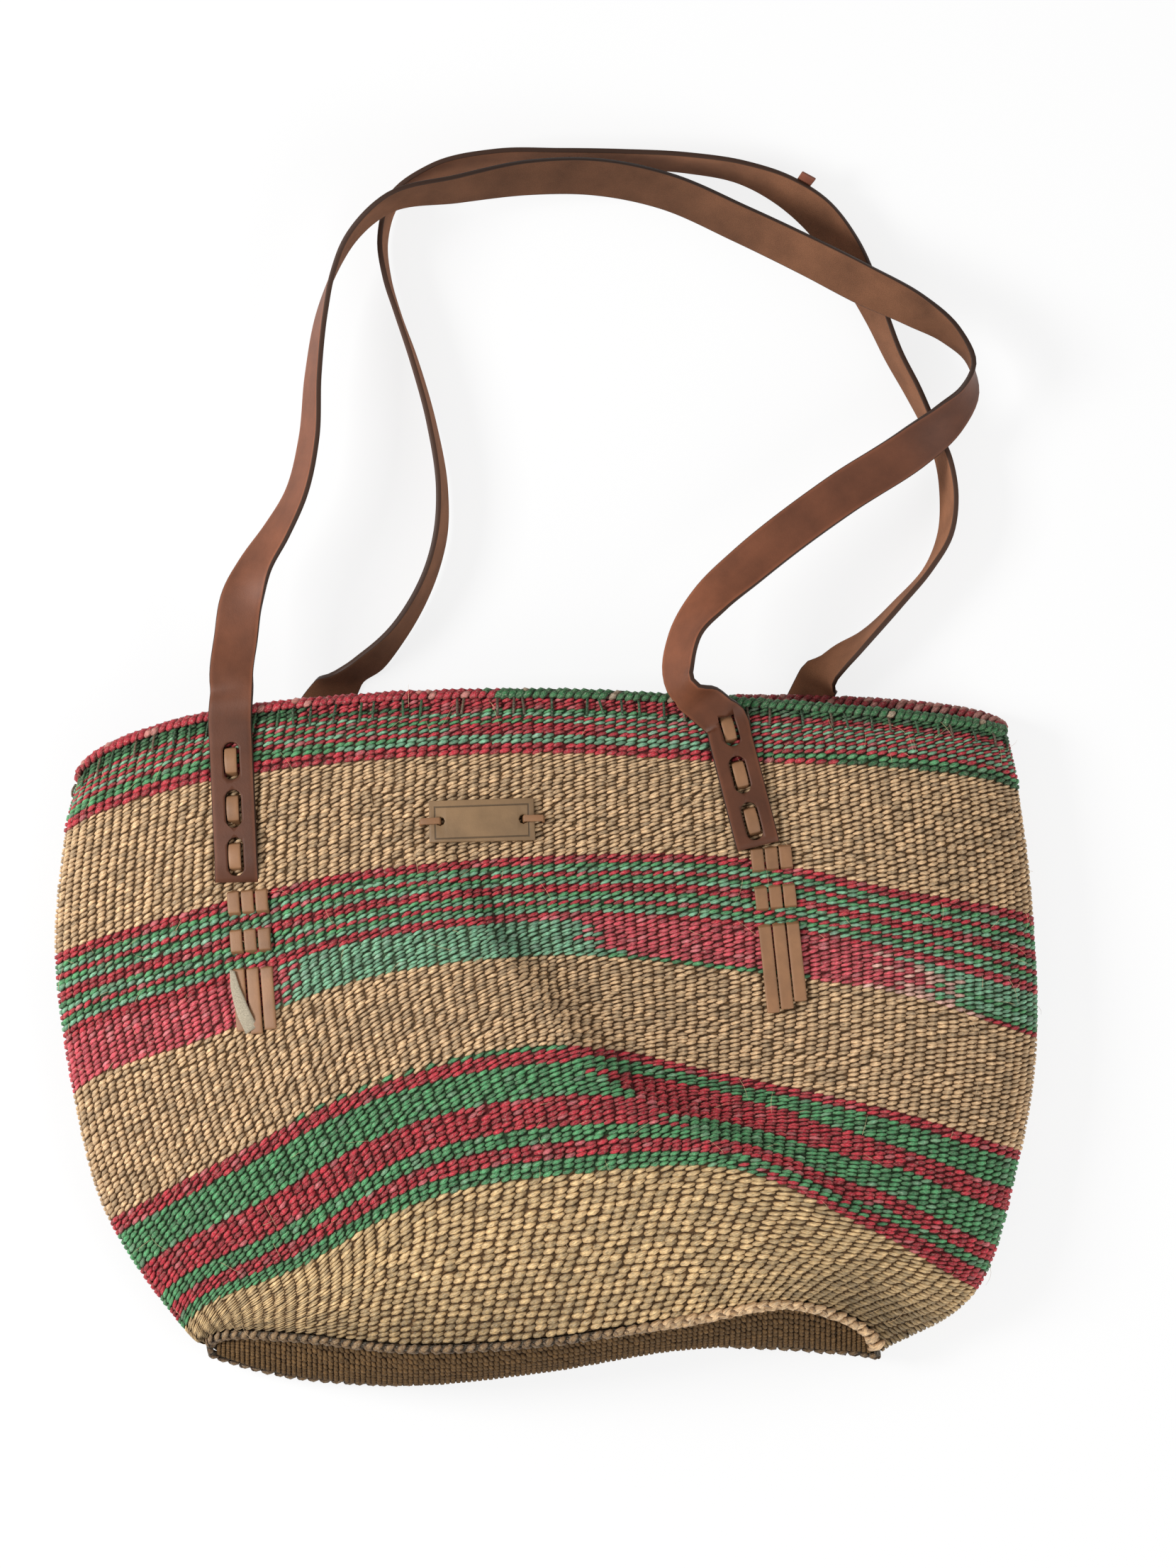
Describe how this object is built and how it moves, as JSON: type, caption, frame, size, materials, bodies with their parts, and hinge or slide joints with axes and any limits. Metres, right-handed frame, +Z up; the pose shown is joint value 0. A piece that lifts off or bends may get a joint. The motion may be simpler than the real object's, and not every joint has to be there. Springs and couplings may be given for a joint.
{
  "type": "woven shoulder basket",
  "caption": "Twined sisal shoulder basket lying flat on its back, with laced leather straps, a yarn rim braid and a small leather label.",
  "frame": {"origin": "on the resting surface, under the middle of the whole object's box", "axes": "+Z up out of the front panel, +Y from the base towards the mouth and the straps, +X to the right seen from above"},
  "size_m": [0.448, 0.567, 0.0886],
  "materials": {
    "sisal_wall": "matte",
    "sisal_base": "matte",
    "rim_yarn": "matte",
    "strap_leather": "satin",
    "thong_leather": "matte",
    "label_leather": "matte"
  },
  "bodies": {
    "basket": {"woven_wall": "sisal_wall", "woven_base": "sisal_base", "rim_braid": "rim_yarn", "base_braid": "sisal_base", "front_strap_left_end": "strap_leather", "front_strap_right_end": "strap_leather", "back_strap_left_end": "strap_leather", "back_strap_right_end": "strap_leather", "front_left_thong_1": "thong_leather", "front_left_thong_2": "thong_leather", "front_left_thong_3": "thong_leather", "front_right_thong_1": "thong_leather", "front_right_thong_2": "thong_leather", "front_right_thong_3": "thong_leather", "back_left_thong_1": "thong_leather", "back_left_thong_2": "thong_leather", "back_left_thong_3": "thong_leather", "back_right_thong_1": "thong_leather", "back_right_thong_2": "thong_leather", "back_right_thong_3": "thong_leather", "label_thong_left": "thong_leather", "label_thong_right": "thong_leather", "label_tag": "label_leather"},
    "front_strap": {"front_strap_loop": "strap_leather"},
    "back_strap": {"back_strap_loop": "strap_leather", "strap_patch": "strap_leather"}
  },
  "joints": [
    {"name": "front_strap_swing", "type": "hinge", "parent": "basket", "child": "front_strap", "pos_m": [-0.00033, 0.04201, 0.05803], "axis": [1, 0, 0], "range_deg": [0, 165]},
    {"name": "back_strap_swing", "type": "hinge", "parent": "basket", "child": "back_strap", "pos_m": [-0.00033, 0.04201, -0.00097], "axis": [1, 0, 0], "range_deg": [-165, 0]}
  ]
}
